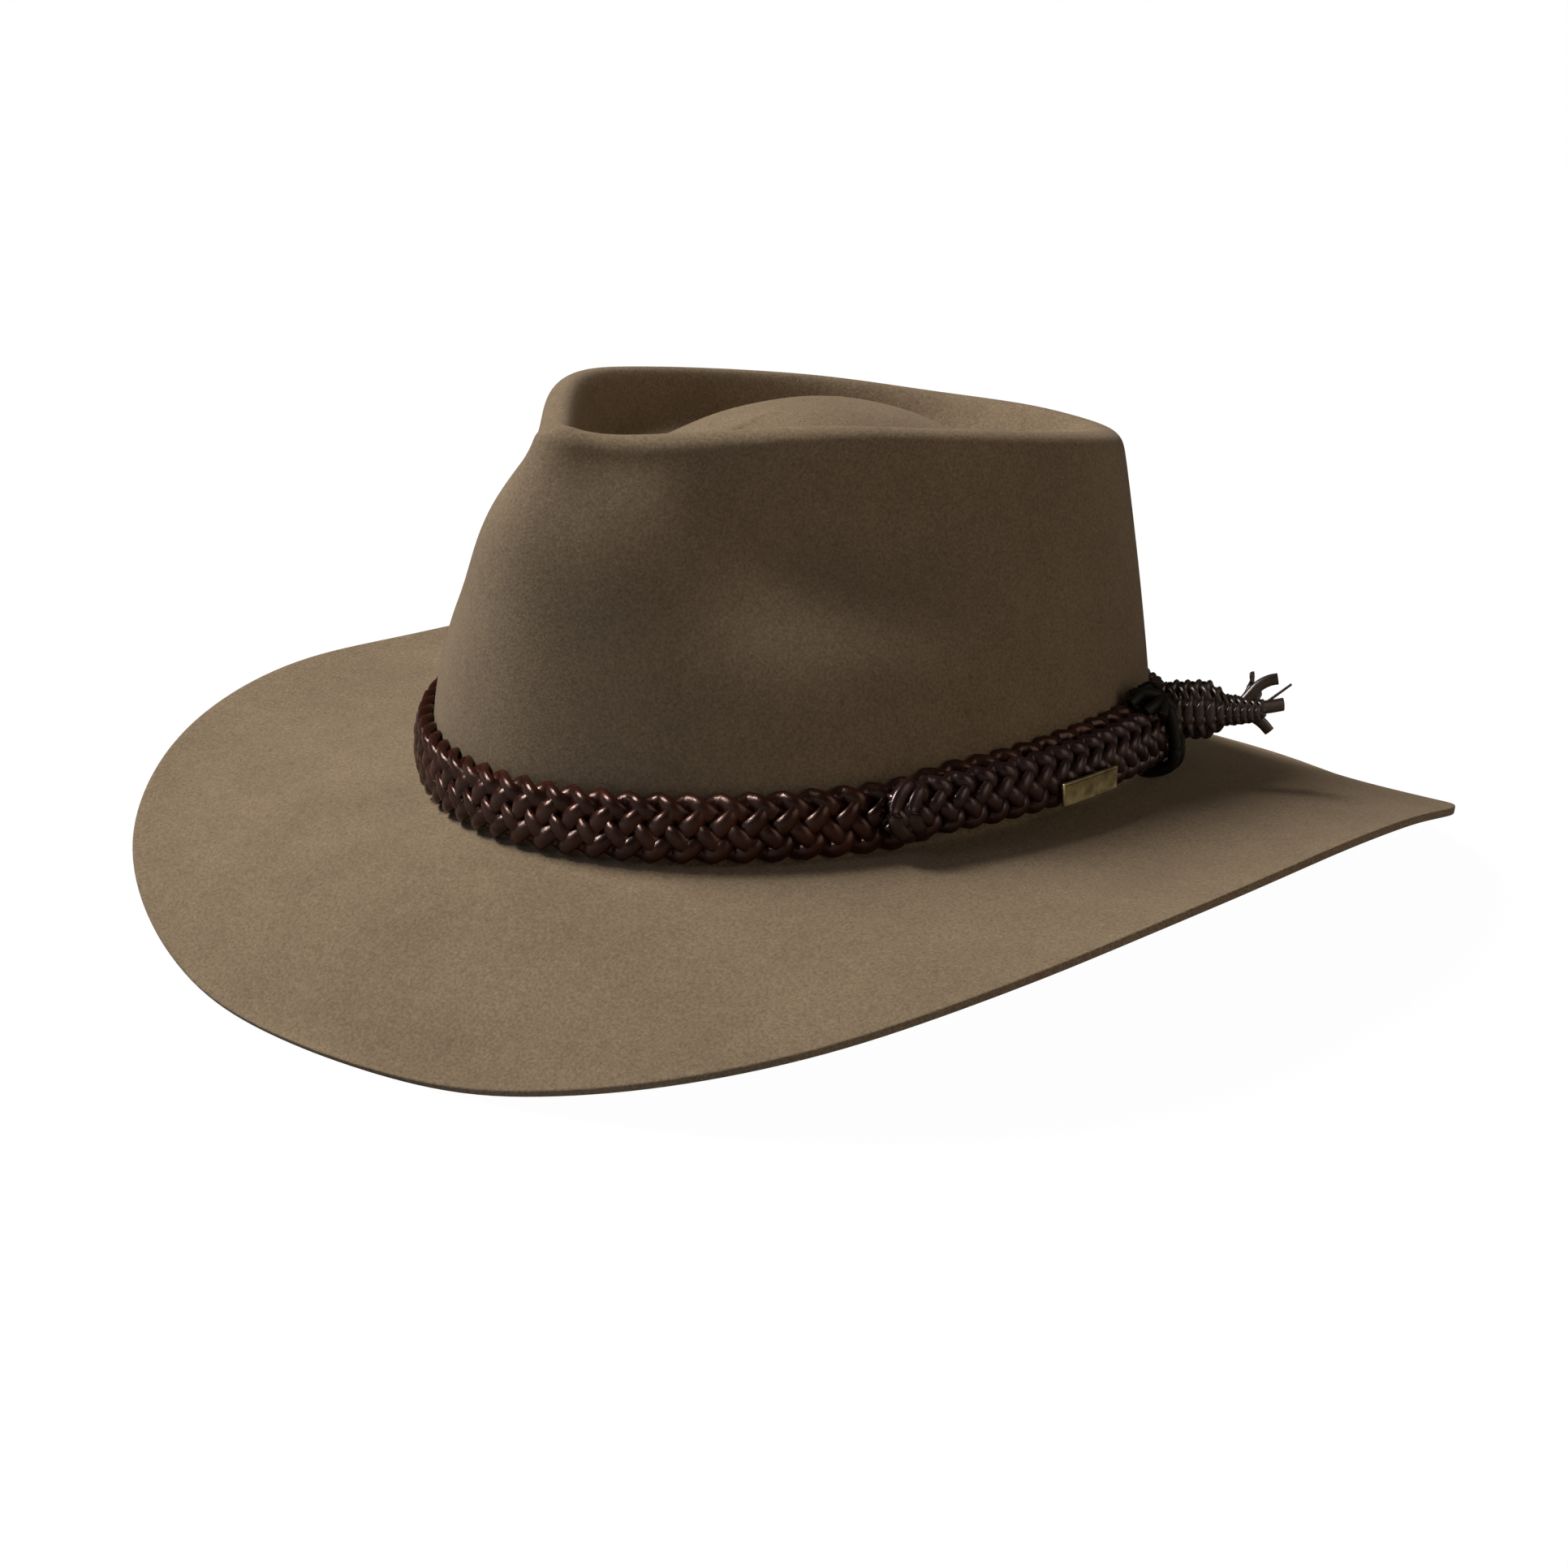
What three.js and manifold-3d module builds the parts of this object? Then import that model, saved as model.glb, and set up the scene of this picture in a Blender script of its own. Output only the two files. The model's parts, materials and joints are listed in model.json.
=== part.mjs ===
// Bush hat in fur felt with a plaited leather band, in millimetres, +Z up.
// The front of the hat faces -Y and the wearer's left is +X. The hat rests on the dipped
// front and back of its brim, at z = 0, and the origin is under the middle of the brim.
// Angles go round the crown from the front, by the wearer's left, to the back.
import * as THREE from "three";
import { mergeVertices } from "three/addons/utils/BufferGeometryUtils.js";
import Module from "manifold-3d";

const wasm = await Module();
wasm.setup();

// Head opening and felt
const headHalfLength = 100;
const headHalfWidth = 84;
const feltThickness = 2;
const crownFillet = 2.5;

// Brim, with the break between crown and brim dipping in front and more at the back
const brimWidth = 78;
const brimDrop = 40;
const brimSideSag = 2.5;
const breakFrontDip = 2.4;
const breakBackDip = 10;
const brimFlattening = 2.6;
const brimCurve = 1.3;

// Ridge round the top of the crown, its height measured above the brim break
const ridgeHalfWidth = 50;
const ridgeReach = 92;
const ridgeHeight = 100;
const ridgeRadius = 6;

// Wall of the crown: the back leans in evenly, and takes over from the front between two angles
const backLean = 1.4;
const frontEndAngle = 70;
const backStartAngle = 120;

// Crease inside the ridge, and the mound that stands in it
const creaseFrontDepth = 24;
const creaseBackDepth = 10;
const creaseScale = 0.76;
const moundHeight = 91.5;
const moundForward = 4;
const moundFlatness = 2.4;
const moundFlare = 1.3;

// Dents on both sides of the front
const dentDepth = 21;
const dentAngle = 64.5;
const dentSpread = 28;
const dentFlatness = 2.8;
const dentHeight = 0.76;
const dentBelow = 0.195;
const dentAbove = 0.17;
const dentRoundness = 3;

// Plaited band, and the stretch of plait that laps over it
const bandHeight = 18;
const bandThickness = 4.6;
const bandRise = 0.6;
const bandLift = 2.3;
const lapHeight = 15.4;
const lapThickness = 4.8;
const lapRise = 4.4;
const lapStartAngle = 61.5;
const lapEndAngle = 126;
const lapRounding = 5;
const lapEndHeight = 0.55;
const lapEndThickness = 0.65;
const riseSpan = 12;
const fallSpan = 24;
const plaitEdge = 1.6;
const plaitFlatness = 2.4;
const seatGap = 0.3;

// Lace that ties the lap down, and the loose end of the plait behind it
const knotAngle = 118;
const knotLength = 9;
const knotWrap = 2;
const knotWrapEdge = 1.2;
const knotBack = 0.5;
const knotLumpRadius = 6;
const knotLumpStretch = 1.1;
const knotLumpHeight = 19.3;
const knotLumpOut = 5.5;
const tailLength = 29;
const tailHeight = 14.6;
const tailThickness = 8;
const tailCentreHeight = 18.1;
const tailOut = 6;
const tailSides = 12;
const tailSwing = 30;
const tailDroop = 4;
const thongWidth = 2.8;
const thongThickness = 1.8;
const thongTip = 0.8;
const thongSides = 6;

// Small metal plate on the lap
const plateLength = 20;
const plateHeight = 6;
const plateThickness = 0.9;
const plateAngle = 93;
const plateCentreHeight = 8.6;

// How finely the loops are divided
const loopSteps = 60;

// Brim all round: width is a share of brimWidth, and drop at the edge a share of brimDrop
const brimSections = [
  { angle: 0, width: 1.0, drop: 1.05 },
  { angle: 15, width: 1.005, drop: 0.985 },
  { angle: 30, width: 1.035, drop: 0.79 },
  { angle: 45, width: 1.07, drop: 0.5 },
  { angle: 60, width: 1.05, drop: 0.195 },
  { angle: 75, width: 0.98, drop: 0.02 },
  { angle: 90, width: 0.89, drop: 0.01 },
  { angle: 105, width: 0.895, drop: 0.025 },
  { angle: 120, width: 0.945, drop: 0.17 },
  { angle: 135, width: 1.06, drop: 0.44 },
  { angle: 150, width: 1.03, drop: 0.72 },
  { angle: 165, width: 1.0, drop: 0.86 },
  { angle: 180, width: 0.97, drop: 0.89 },
];

// Crest of the ridge: a teardrop with its point in front, that falls towards the back.
// side is a share of ridgeHalfWidth, back a share of ridgeReach and height of ridgeHeight.
const ridgeSections = [
  { angle: 0, side: 0, back: -0.9, height: 1 },
  { angle: 30, side: 0.225, back: -0.79, height: 0.975 },
  { angle: 60, side: 0.84, back: -0.42, height: 0.99 },
  { angle: 90, side: 1.03, back: -0.03, height: 0.94 },
  { angle: 120, side: 0.99, back: 0.58, height: 0.835 },
  { angle: 150, side: 0.57, back: 0.93, height: 0.765 },
  { angle: 180, side: 0, back: 1, height: 0.76 },
];

// How far the wall of the front half has leant in, as a share of the way to the ridge,
// at shares of its height
const frontLean = [
  { share: 0, lean: 0 },
  { share: 0.2, lean: 0.01 },
  { share: 0.4, lean: 0.13 },
  { share: 0.6, lean: 0.24 },
  { share: 0.8, lean: 0.435 },
  { share: 1, lean: 1 },
];

// The crease from the ridge to its bottom: scale is the share of the ridge's outline left,
// and depth the share of the crease's depth reached
const creaseSections = [
  { scale: 0.965, depth: 0.05 },
  { scale: 0.925, depth: 0.26 },
  { scale: 0.88, depth: 0.58 },
  { scale: 0.83, depth: 0.87 },
  { scale: creaseScale, depth: 1 },
];

// The tail from the knot to its tip: along is a share of tailLength, and the others are
// shares of its height and thickness there
const tailSections = [
  { along: 0, height: 0.8, thickness: 0.85 },
  { along: 0.2, height: 0.97, thickness: 1 },
  { along: 0.48, height: 1, thickness: 1 },
  { along: 0.57, height: 0.8, thickness: 0.9 },
  { along: 0.67, height: 0.52, thickness: 0.78 },
  { along: 1, height: 0.38, thickness: 0.6 },
];

// Loose thong ends: each starts at a share of the tail's length and a height off its
// line, and rise and swing turn it up and sideways from that line
const thongs = [
  { along: 0.86, lift: 1, rise: 85, swing: 8, length: 7.5 },
  { along: 0.9, lift: 5, rise: 30, swing: -8, length: 6 },
  { along: 0.88, lift: 0, rise: 2, swing: 5, length: 9 },
  { along: 0.88, lift: -1.5, rise: -46, swing: -12, length: 7 },
  { along: 0.84, lift: 0.5, rise: 16, swing: 50, length: 7 },
];

const radians = THREE.MathUtils.degToRad;
const mix = THREE.MathUtils.lerp;
const smoothstep = THREE.MathUtils.smoothstep;
const vector = (x, y, z) => new THREE.Vector3(x, y, z);

const feltHalfLength = headHalfLength + feltThickness;
const feltHalfWidth = headHalfWidth + feltThickness;

// Cubic through four evenly spaced values, between the middle two
function cubic(before, from, to, after, t) {
  const bend = 2 * before - 5 * from + 4 * to - after;
  return from + 0.5 * t * (to - before + t * (bend + t * (3 * from - 3 * to + after - before)));
}

// A column of a table that goes half round, at any angle. The other half mirrors it, with
// the sign changed where the column is a distance to one side.
function roundValue(table, column, angle, mirror = 1) {
  const last = table.length - 1;
  const value = (i) => {
    const wrapped = ((i % (2 * last)) + 2 * last) % (2 * last);
    return wrapped > last ? mirror * table[2 * last - wrapped][column] : table[wrapped][column];
  };
  const at = angle / table[1].angle;
  const i = Math.floor(at);
  return cubic(value(i - 1), value(i), value(i + 1), value(i + 2), at - i);
}

// Lean of the front wall at a share of its height
function frontLeanAt(share) {
  const last = frontLean.length - 1;
  const value = (i) => frontLean[Math.min(last, Math.max(0, i))].lean;
  const at = Math.min(1, Math.max(0, share)) * last;
  const i = Math.min(last - 1, Math.floor(at));
  const after = i + 2 > last ? 2 * value(last) - value(last - 1) : value(i + 2);
  return cubic(value(i - 1), value(i), value(i + 1), after, at - i);
}

// Outside of the felt at the brim break
function breakPoint(angle) {
  const a = radians(angle);
  const dip = (Math.cos(a) > 0 ? breakFrontDip : breakBackDip) * Math.cos(a) ** 2;
  return vector(feltHalfWidth * Math.sin(a), -feltHalfLength * Math.cos(a), -dip);
}

// Crest of the ridge, or a copy of its outline scaled about the middle of the crown
const crownMiddle = (ridgeReach * (1 + ridgeSections[0].back)) / 2;

function ridgePoint(angle, scale = 1) {
  const back = ridgeReach * roundValue(ridgeSections, "back", angle);
  return vector(
    scale * ridgeHalfWidth * roundValue(ridgeSections, "side", angle, -1),
    mix(crownMiddle, back, scale),
    ridgeHeight * roundValue(ridgeSections, "height", angle),
  );
}

// Level unit vector square to a curve round the crown, pointing outwards
function outward(curve, angle) {
  const ahead = curve(angle + 0.5);
  const behind = curve(angle - 0.5);
  return vector(ahead.y - behind.y, behind.x - ahead.x, 0).normalize();
}

// Crown wall, from the brim break at share 0 to the outside of the ridge at share 1: even
// at the back, late to lean in at the front, and pushed in at the dents
function wallPoint(angle, share) {
  const foot = breakPoint(angle);
  const top = ridgePoint(angle).addScaledVector(outward(ridgePoint, angle), ridgeRadius);
  const folded = Math.abs(((angle + 180) % 360) - 180);
  const backness = smoothstep(folded, frontEndAngle, backStartAngle);
  const lean = mix(frontLeanAt(share), Math.max(0, share) ** backLean, backness);
  const below = Math.max(0, dentHeight - share) / dentBelow;
  const above = Math.max(0, share - dentHeight) / dentAbove;
  const aside = Math.abs((folded - dentAngle) / dentSpread) ** dentFlatness;
  const fromDent = aside + below ** 2 + above ** dentRoundness;
  const point = foot.clone().lerp(top, lean);
  point.addScaledVector(outward(breakPoint, angle), -dentDepth * Math.exp(-fromDent));
  return point.setZ(mix(foot.z, top.z - ridgeRadius, share));
}

// The wall at a height above the brim break
function wallAtHeight(angle, height) {
  return wallPoint(angle, height / (ridgePoint(angle).z - ridgeRadius - breakPoint(angle).z));
}

// Brim, from the foot of the crown's fillet at share 0 to the edge at share 1
function brimPoint(angle, share) {
  const width = brimWidth * roundValue(brimSections, "width", angle);
  const drop = brimDrop * roundValue(brimSections, "drop", angle);
  const reach = Math.sqrt(width * width - drop * drop);
  const sag = brimSideSag * Math.sin(radians(angle)) ** 4 * Math.sin(Math.PI * share);
  const point = breakPoint(angle);
  point.addScaledVector(outward(breakPoint, angle), mix(crownFillet, reach, share));
  return point.setZ(mix(point.z, -drop, share ** brimCurve) - sag);
}

// Stations of the felt's outer surface, from the mound to the edge of the brim
const moundStations = [0.2, 0.42, 0.64, 0.84];
const ridgeStations = [90, 60, 30];
const wallStations = [1, 0.92, 0.83, 0.73, 0.62, 0.5, 0.37, 0.24, 0.12, 0.04];
const filletStations = [30, 60];
const brimStations = [0, 0.2, 0.42, 0.64, 0.84, 0.965, 1];

function feltProfile(angle) {
  const crest = ridgePoint(angle);
  const creaseDepth = mix(creaseBackDepth, creaseFrontDepth, (1 + Math.cos(radians(angle))) / 2);
  const ridgeOut = outward(ridgePoint, angle);
  const footOut = outward(breakPoint, angle);
  const points = [];
  for (const share of moundStations) {
    const point = ridgePoint(angle, creaseScale * share);
    point.y -= moundForward * (1 - share);
    const rise = (1 - share ** moundFlatness) ** moundFlare;
    points.push(point.setZ(mix(crest.z - creaseDepth, moundHeight, rise)));
  }
  for (const row of [...creaseSections].reverse()) {
    points.push(ridgePoint(angle, row.scale).setZ(crest.z - creaseDepth * row.depth));
  }
  for (const turn of ridgeStations) {
    const point = crest.clone().addScaledVector(ridgeOut, ridgeRadius * Math.cos(radians(turn)));
    points.push(point.setZ(crest.z - ridgeRadius * (1 - Math.sin(radians(turn)))));
  }
  for (const share of wallStations) points.push(wallPoint(angle, share));
  for (const turn of filletStations) {
    const point = breakPoint(angle);
    point.addScaledVector(footOut, crownFillet * (1 - Math.cos(radians(turn))));
    points.push(point.setZ(point.z + crownFillet * (1 - Math.sin(radians(turn)))));
  }
  for (const share of brimStations) points.push(brimPoint(angle, share));
  return points;
}

// Closed surface through loops of equal length: the last loop joins the first, or a fan
// closes each end
function loft(loops, ends) {
  const steps = loops[0].length;
  const points = loops.flat();
  const faces = [];
  const rows = ends ? loops.length - 1 : loops.length;
  for (let i = 0; i < rows; i++) {
    const near = i * steps;
    const far = ((i + 1) % loops.length) * steps;
    for (let j = 0; j < steps; j++) {
      const next = (j + 1) % steps;
      faces.push(near + j, far + next, near + next, near + j, far + j, far + next);
    }
  }
  if (ends) {
    const first = points.push(ends.first) - 1;
    const last = points.push(ends.last) - 1;
    const start = (loops.length - 1) * steps;
    for (let j = 0; j < steps; j++) {
      const next = (j + 1) % steps;
      faces.push(first, j, next, last, start + next, start + j);
    }
  }
  const geometry = new THREE.BufferGeometry().setFromPoints(points);
  geometry.setIndex(faces);
  return geometry;
}

// Solid swept through sections, closed flat at both ends
function bar(sections) {
  const middleOf = (loop) => new THREE.Box3().setFromPoints(loop).getCenter(vector(0, 0, 0));
  return loft(sections, { first: middleOf(sections[0]), last: middleOf(sections.at(-1)) });
}

const angles = Array.from({ length: loopSteps }, (_, i) => (360 * i) / loopSteps);
const profiles = angles.map(feltProfile);

// The felt's loops before it rests: an outer layer, and one a felt's thickness inside it
function feltLoops() {
  const apex = vector(0, crownMiddle - moundForward, moundHeight);
  const outer = [];
  const inner = [];
  profiles[0].forEach((_, i) => {
    outer.push(profiles.map((profile) => profile[i].clone()));
    inner.push(
      profiles.map((profile, j) => {
        const ahead = profiles[(j + 1) % loopSteps][i];
        const behind = profiles[(j + loopSteps - 1) % loopSteps][i];
        const before = i ? profile[i - 1] : apex;
        const after = profile[Math.min(i + 1, profile.length - 1)];
        const normal = after.clone().sub(before).cross(ahead.clone().sub(behind)).normalize();
        return profile[i].clone().addScaledVector(normal, -feltThickness);
      }),
    );
  });
  return { outer, inner, apex };
}

// How the hat comes to rest: tipped until the front and back of the brim are level, then
// down on the surface, which flattens what would reach below it
const felt = feltLoops();
const frontEdge = felt.inner.at(-1)[0];
const backEdge = felt.inner.at(-1)[loopSteps / 2];
const restTip = -Math.atan2(backEdge.z - frontEdge.z, backEdge.y - frontEdge.y);
const tipped = new THREE.Matrix4().makeRotationX(restTip);
const lowest = Math.min(...felt.inner.flat().map((point) => point.clone().applyMatrix4(tipped).z));
const restLift = -lowest - brimFlattening;
const rested = new THREE.Matrix4().makeTranslation(0, 0, restLift).multiply(tipped);

function makeFelt() {
  const { outer, inner, apex } = felt;
  const innerApex = apex.clone().setZ(moundHeight - feltThickness).applyMatrix4(rested);
  apex.applyMatrix4(rested);
  outer.forEach((loop, i) =>
    loop.forEach((point, j) => {
      const under = inner[i][j].applyMatrix4(rested);
      point.applyMatrix4(rested);
      const pressed = Math.max(0, -under.z);
      point.z += pressed;
      under.z += pressed;
    }),
  );
  return loft([...outer, ...inner.reverse()], { first: apex, last: innerApex });
}

// Where the faceted felt stands at an angle of the loop and a height above the brim break,
// measured from the plain wall there
function feltStandoff(angle, height) {
  const profile = profiles[Math.round((angle * loopSteps) / 360) % loopSteps];
  const z = breakPoint(angle).z + height;
  const i = profile.findIndex((point) => point.z <= z);
  const t = (profile[i - 1].z - z) / (profile[i - 1].z - profile[i].z);
  const onFelt = profile[i - 1].clone().lerp(profile[i], t);
  return onFelt.sub(wallAtHeight(angle, height)).dot(outward(breakPoint, angle));
}

// Section of something that lies on the crown wall: a back, and a face that bulges from
// plaitEdge at its edges to its full thickness, all grown by a margin
const plaitShares = [0, 0.1, 0.3, 0.5, 0.7, 0.9, 1];

function plaitSection(angle, { bottom, height, back, thickness }, margin = 0) {
  const out = outward(breakPoint, angle);
  const at = (share, distance) => {
    const level = bottom - margin + share * (height + 2 * margin);
    return wallAtHeight(angle, level).addScaledVector(out, distance);
  };
  const face = plaitShares.map((share) => {
    const bulge = Math.sqrt(1 - Math.abs(2 * share - 1) ** plaitFlatness);
    return at(share, back + margin + mix(plaitEdge, thickness, bulge));
  });
  const behind = plaitShares.map((share) => {
    const onFelt = back === seatGap && !margin ? feltStandoff(angle, bottom + share * height) : 0;
    return at(share, back - margin + onFelt);
  });
  return [...face, ...behind.reverse()];
}

// The band rides a little higher where the lap is tied over it
function bandShape(angle) {
  const rising = smoothstep(angle, lapStartAngle, lapStartAngle + riseSpan);
  const falling = smoothstep(angle, lapEndAngle, lapEndAngle + fallSpan);
  return {
    bottom: bandRise + bandLift * (rising - falling),
    height: bandHeight,
    back: seatGap,
    thickness: bandThickness,
  };
}

const makeBand = (margin) =>
  loft(angles.map((angle) => plaitSection(angle, bandShape(angle), margin)));

// The lap lies on the band, and both its ends are rounded off
const lapEndStops = [0, 0.2, 0.6];

function makeLap(margin) {
  const inside = (angle, reach) =>
    angle > lapStartAngle + reach && angle < lapEndAngle - reach;
  const ends = lapEndStops.flatMap((share) => [
    lapStartAngle + share * lapRounding,
    lapEndAngle - share * lapRounding,
  ]);
  const stops = [...ends, ...angles.filter((angle) => inside(angle, lapRounding))];
  const sections = stops
    .sort((a, b) => a - b)
    .map((angle) => {
      const fromEnd = Math.min(angle - lapStartAngle, lapEndAngle - angle) / lapRounding;
      const fullness = Math.sqrt(Math.min(1, fromEnd));
      const height = lapHeight * mix(lapEndHeight, 1, fullness);
      const bottom = lapRise + (lapHeight - height) / 2;
      const thickness = lapThickness * mix(lapEndThickness, 1, fullness);
      const back = 2 * seatGap + bandThickness;
      return plaitSection(angle, { bottom, height, back, thickness }, margin);
    });
  return bar(sections);
}

// Plate bent to the lap's run, upright against its fullest height
function makePlate() {
  const halfSpan = THREE.MathUtils.radToDeg(plateLength / 2 / feltHalfLength);
  const inside = 3 * seatGap + bandThickness + lapThickness;
  const sections = [-1, -0.5, 0, 0.5, 1].map((side) => {
    const angle = plateAngle + side * halfSpan;
    const middle = wallAtHeight(angle, plateCentreHeight);
    const corner = (rise, distance) =>
      middle
        .clone()
        .addScaledVector(outward(breakPoint, angle), distance)
        .setZ(middle.z + (rise * plateHeight) / 2);
    return [
      corner(-1, inside + plateThickness),
      corner(1, inside + plateThickness),
      corner(1, inside),
      corner(-1, inside),
    ];
  });
  return bar(sections);
}

// Manifold solids, for what is joined or cut
function solidOf(geometry) {
  const bare = new THREE.BufferGeometry();
  bare.setAttribute("position", geometry.getAttribute("position"));
  bare.setIndex(geometry.index);
  const merged = mergeVertices(bare, 1e-4);
  return new wasm.Manifold(
    new wasm.Mesh({
      numProp: 3,
      vertProperties: new Float32Array(merged.attributes.position.array),
      triVerts: new Uint32Array(merged.index.array),
    }),
  );
}

function geometryOf(solid) {
  const { vertProperties, triVerts } = solid.getMesh();
  const geometry = new THREE.BufferGeometry();
  geometry.setAttribute("position", new THREE.BufferAttribute(vertProperties, 3));
  geometry.setIndex(new THREE.BufferAttribute(triVerts, 1));
  return geometry;
}

// The crown with its seat gap, to cut what is tied against it, at heights above the break
const cutterHeights = [46, 36, 25, 18, 9, 2.5, 1.75, 0.9, 0.25];

function makeCrownCutter() {
  const sections = cutterHeights.map((height) =>
    angles.map((angle) =>
      wallAtHeight(angle, height).addScaledVector(
        outward(breakPoint, angle),
        seatGap + feltStandoff(angle, height),
      ),
    ),
  );
  return bar(sections);
}

// Lace round both plaits with a lump of knot on their upper edge, before it is cut to
// lie on them
const lapFace = 2 * seatGap + bandThickness + lapThickness;
const knotOut = outward(breakPoint, knotAngle);
const knotStops = [-1, -0.6, 0, 0.6, 1];

function makeKnotShape(margin) {
  const halfSpan = THREE.MathUtils.radToDeg((knotLength / 2 + margin) / feltHalfLength);
  const wrap = knotStops.map((side) => {
    const lace = mix(knotWrap, knotWrapEdge, side * side);
    return plaitSection(
      knotAngle + side * halfSpan,
      {
        bottom: bandRise,
        height: bandHeight + bandLift + lace,
        back: knotBack,
        thickness: lapFace + seatGap + lace - knotBack,
      },
      margin,
    );
  });
  const lump = new THREE.SphereGeometry(knotLumpRadius + margin, 14, 10).rotateX(Math.PI / 2);
  const centre = wallAtHeight(knotAngle, knotLumpHeight).addScaledVector(knotOut, knotLumpOut);
  lump.scale(1, knotLumpStretch, 1 / knotLumpStretch).translate(centre.x, centre.y, centre.z);
  return solidOf(bar(wrap)).add(solidOf(lump));
}

function cutClear(solid) {
  const cutters = [makeCrownCutter(), makeBand(seatGap), makeLap(seatGap)];
  return cutters.reduce((left, cutter) => left.subtract(solidOf(cutter)), solid);
}

// Loose end of the plait, with its thongs fanned out and fused to it
function makeTail() {
  const start = wallAtHeight(knotAngle, tailCentreHeight).addScaledVector(knotOut, tailOut);
  const level = knotOut.clone().applyAxisAngle(vector(0, 0, 1), radians(tailSwing));
  const side = vector(0, 0, 1).cross(level);
  const line = level.applyAxisAngle(side, radians(tailDroop));
  const up = line.clone().cross(side);
  const sections = tailSections.map((row) =>
    Array.from({ length: tailSides }, (_, i) => {
      const turn = (2 * Math.PI * i) / tailSides;
      return start
        .clone()
        .addScaledVector(line, row.along * tailLength)
        .addScaledVector(side, (Math.sin(turn) * row.thickness * tailThickness) / 2)
        .addScaledVector(up, (Math.cos(turn) * row.height * tailHeight) / 2);
    }),
  );
  let tail = solidOf(bar(sections));
  for (const row of thongs) {
    const [rise, swing] = [radians(row.rise), radians(row.swing)];
    const run = line.clone().multiplyScalar(Math.cos(rise) * Math.cos(swing));
    run.addScaledVector(up, Math.sin(rise)).addScaledVector(side, Math.cos(rise) * Math.sin(swing));
    const thong = new THREE.CylinderGeometry(thongTip / 2, 0.5, row.length, thongSides);
    thong.scale(thongWidth, 1, thongThickness).translate(0, row.length / 2, 0);
    const turned = new THREE.Quaternion().setFromUnitVectors(vector(0, 1, 0), run.normalize());
    thong.applyQuaternion(turned);
    const root = start.clone().addScaledVector(line, row.along * tailLength);
    thong.translate(root.x, root.y, root.z + row.lift);
    tail = tail.add(solidOf(thong));
  }
  return cutClear(tail).subtract(makeKnotShape(seatGap));
}

const material = (color, roughness, metalness = 0) =>
  new THREE.MeshStandardMaterial({ color, roughness, metalness });
const feltLook = material(0x7f6c55, 0.95);
const leatherLook = material(0x2e1a15, 0.45);
const laceLook = material(0x1c1614, 0.5);
const brassLook = material(0x9c8a4e, 0.35, 1);

function named(name, geometry, look) {
  geometry.computeVertexNormals();
  const mesh = new THREE.Mesh(geometry, look);
  mesh.name = name;
  return mesh;
}

const hat = new THREE.Group();
const feltBody = named("felt_body", makeFelt(), feltLook);

const trim = new THREE.Group();
trim.rotation.x = restTip;
trim.position.z = restLift;
trim.add(named("band_plait", makeBand(), leatherLook));
trim.add(named("overlap_plait", makeLap(), leatherLook));
trim.add(named("tie_knot", geometryOf(cutClear(makeKnotShape(0))), laceLook));
trim.add(named("tail_plait", geometryOf(makeTail()), leatherLook));
trim.add(named("band_plate", makePlate(), brassLook));

hat.add(feltBody, trim);
const footprint = new THREE.Box3().setFromObject(feltBody).getCenter(vector(0, 0, 0));
hat.position.set(-footprint.x, -footprint.y, 0);

export default hat;
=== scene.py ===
import json
import math

import bpy
from mathutils import Matrix, Vector

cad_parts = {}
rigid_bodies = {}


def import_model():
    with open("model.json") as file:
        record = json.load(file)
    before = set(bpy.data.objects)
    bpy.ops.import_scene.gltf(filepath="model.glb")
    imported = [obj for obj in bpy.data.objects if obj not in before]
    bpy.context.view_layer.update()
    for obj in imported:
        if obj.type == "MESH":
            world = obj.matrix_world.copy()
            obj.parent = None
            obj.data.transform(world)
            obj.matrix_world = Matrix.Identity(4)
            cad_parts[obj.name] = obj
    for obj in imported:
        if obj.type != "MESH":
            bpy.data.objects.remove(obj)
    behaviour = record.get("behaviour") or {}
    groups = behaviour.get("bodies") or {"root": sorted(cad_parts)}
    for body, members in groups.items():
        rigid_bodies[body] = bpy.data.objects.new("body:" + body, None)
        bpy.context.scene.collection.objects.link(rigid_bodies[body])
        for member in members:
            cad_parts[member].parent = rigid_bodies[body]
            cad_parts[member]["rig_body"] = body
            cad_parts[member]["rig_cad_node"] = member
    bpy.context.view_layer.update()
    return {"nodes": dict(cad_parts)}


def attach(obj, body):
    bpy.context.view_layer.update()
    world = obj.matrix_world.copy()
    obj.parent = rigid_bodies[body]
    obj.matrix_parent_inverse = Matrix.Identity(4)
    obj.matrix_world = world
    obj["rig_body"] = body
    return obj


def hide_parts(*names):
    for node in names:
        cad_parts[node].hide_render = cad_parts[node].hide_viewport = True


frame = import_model()

mm = 0.001
up = Vector((0, 0, 1))

# how the hat sits: tipped until the brim is level front and back, then set down (degrees and mm)
rest = {"tip": -1.058, "lift": 37.87, "back": 0.2}
restPlace = Matrix.Translation((0, rest["back"] * mm, rest["lift"] * mm)) @ Matrix.Rotation(
    math.radians(rest["tip"]), 4, "X"
)

# foot of the crown, where the brim breaks away from it (mm)
crownFoot = {"halfLength": 102, "halfWidth": 86, "frontDip": 2.4, "backDip": 10}

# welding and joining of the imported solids' triangles (mm and degrees)
cleanUp = {"weld": 0.02, "faceAngle": 60, "shapeAngle": 80}


def selectOnly(piece):
    bpy.ops.object.select_all(action="DESELECT")
    piece.select_set(True)
    bpy.context.view_layer.objects.active = piece


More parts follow.
